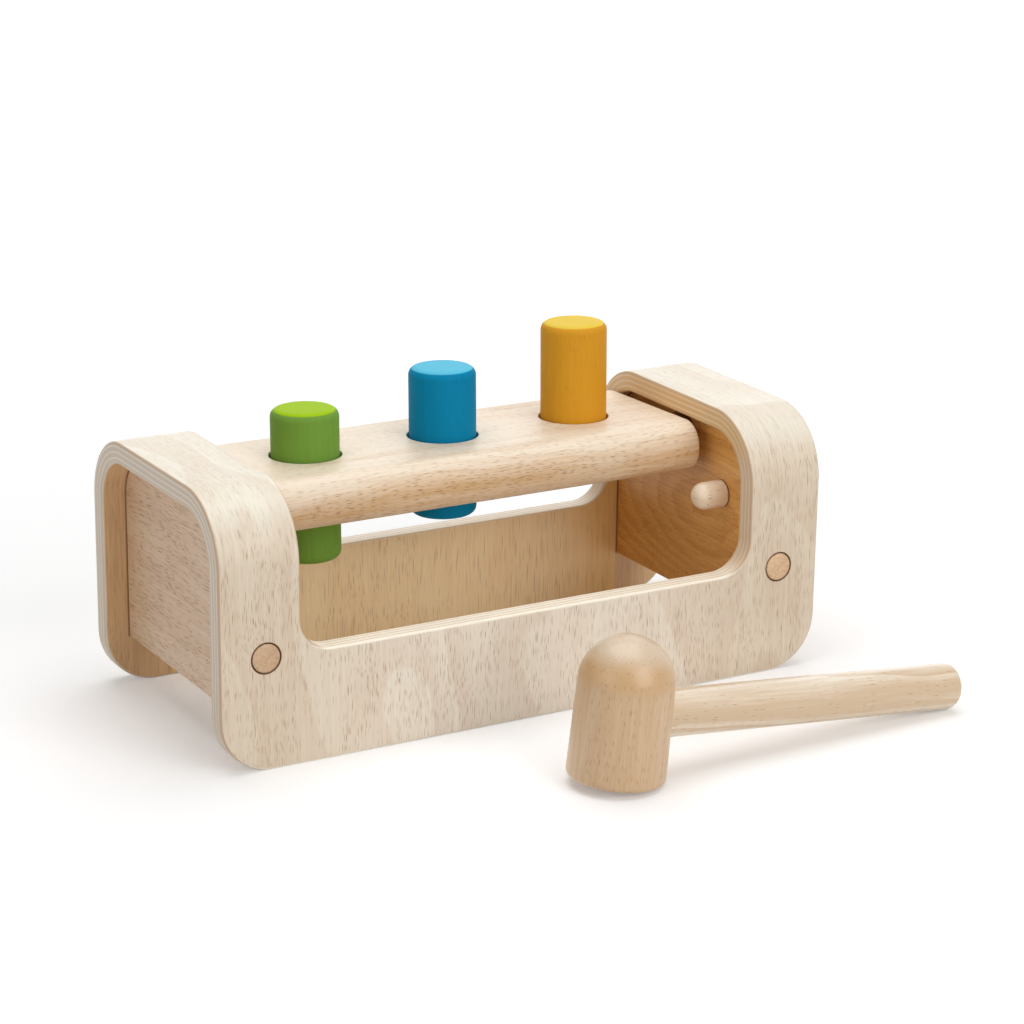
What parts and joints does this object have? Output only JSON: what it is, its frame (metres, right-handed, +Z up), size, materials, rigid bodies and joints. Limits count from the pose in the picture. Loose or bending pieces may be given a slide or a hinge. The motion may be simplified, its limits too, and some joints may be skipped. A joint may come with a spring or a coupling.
{
  "type": "peg pounding bench",
  "caption": "Wooden pounding bench: a bent plywood frame with a swing-over bar that holds painted pegs, and a turned hammer that drives the pegs through the bar.",
  "frame": {"origin": "on the table, under the middle of the box round the bench and its hammer", "axes": "+X along the bench and its bar, to the right seen from the front; +Y from the front rail to the back rail; +Z up"},
  "size_m": [0.2589, 0.1881, 0.1234],
  "materials": {
    "plywood": "pale veneer, clear satin lacquer, striped edges",
    "panel_wood": "solid light hardwood, satin lacquer",
    "dowel_wood": "turned light hardwood, satin lacquer",
    "bar_wood": "solid light hardwood with short pores, satin lacquer",
    "hammer_wood": "turned light hardwood, satin lacquer",
    "green_stain": "green wood stain, satin lacquer",
    "blue_stain": "blue wood stain, satin lacquer",
    "yellow_stain": "yellow wood stain, satin lacquer",
    "ring_rubber": "black rubber"
  },
  "bodies": {
    "bench": {"plywood_shell": "plywood", "left_end_panel": "panel_wood", "right_end_panel": "panel_wood", "front_left_dowel": "dowel_wood", "front_right_dowel": "dowel_wood", "back_left_dowel": "dowel_wood", "back_right_dowel": "dowel_wood", "front_left_stop_pin": "dowel_wood", "front_right_stop_pin": "dowel_wood", "rear_left_stop_pin": "dowel_wood", "rear_right_stop_pin": "dowel_wood", "left_axle": "dowel_wood", "right_axle": "dowel_wood", "left_spacer": "dowel_wood", "right_spacer": "dowel_wood"},
    "swing_bar": {"peg_bar": "bar_wood", "green_friction_ring": "ring_rubber", "blue_friction_ring": "ring_rubber", "yellow_friction_ring": "ring_rubber"},
    "green_peg_body": {"green_peg": "green_stain"},
    "blue_peg_body": {"blue_peg": "blue_stain"},
    "yellow_peg_body": {"yellow_peg": "yellow_stain"},
    "hammer": {"hammer_head": "hammer_wood", "hammer_handle": "hammer_wood"}
  },
  "joints": [
    {"name": "bar_swing", "type": "hinge", "parent": "bench", "child": "swing_bar", "pos_m": [-0.0088, 0.04, 0.078], "axis": [1, 0, 0], "range_deg": [0, 183]},
    {"name": "green_peg_slide", "type": "slide", "parent": "swing_bar", "child": "green_peg_body", "axis": [0, 0.0262, 0.9997], "range_m": [-0.017, 0.019]},
    {"name": "blue_peg_slide", "type": "slide", "parent": "swing_bar", "child": "blue_peg_body", "axis": [0, 0.0262, 0.9997], "range_m": [-0.0255, 0.0105]},
    {"name": "yellow_peg_slide", "type": "slide", "parent": "swing_bar", "child": "yellow_peg_body", "axis": [0, 0.0262, 0.9997], "range_m": [-0.036, 0]},
    {"name": "hammer_lift", "type": "slide", "parent": "bench", "child": "hammer", "axis": [0, 0, 1], "range_m": [0, 0.15]}
  ]
}
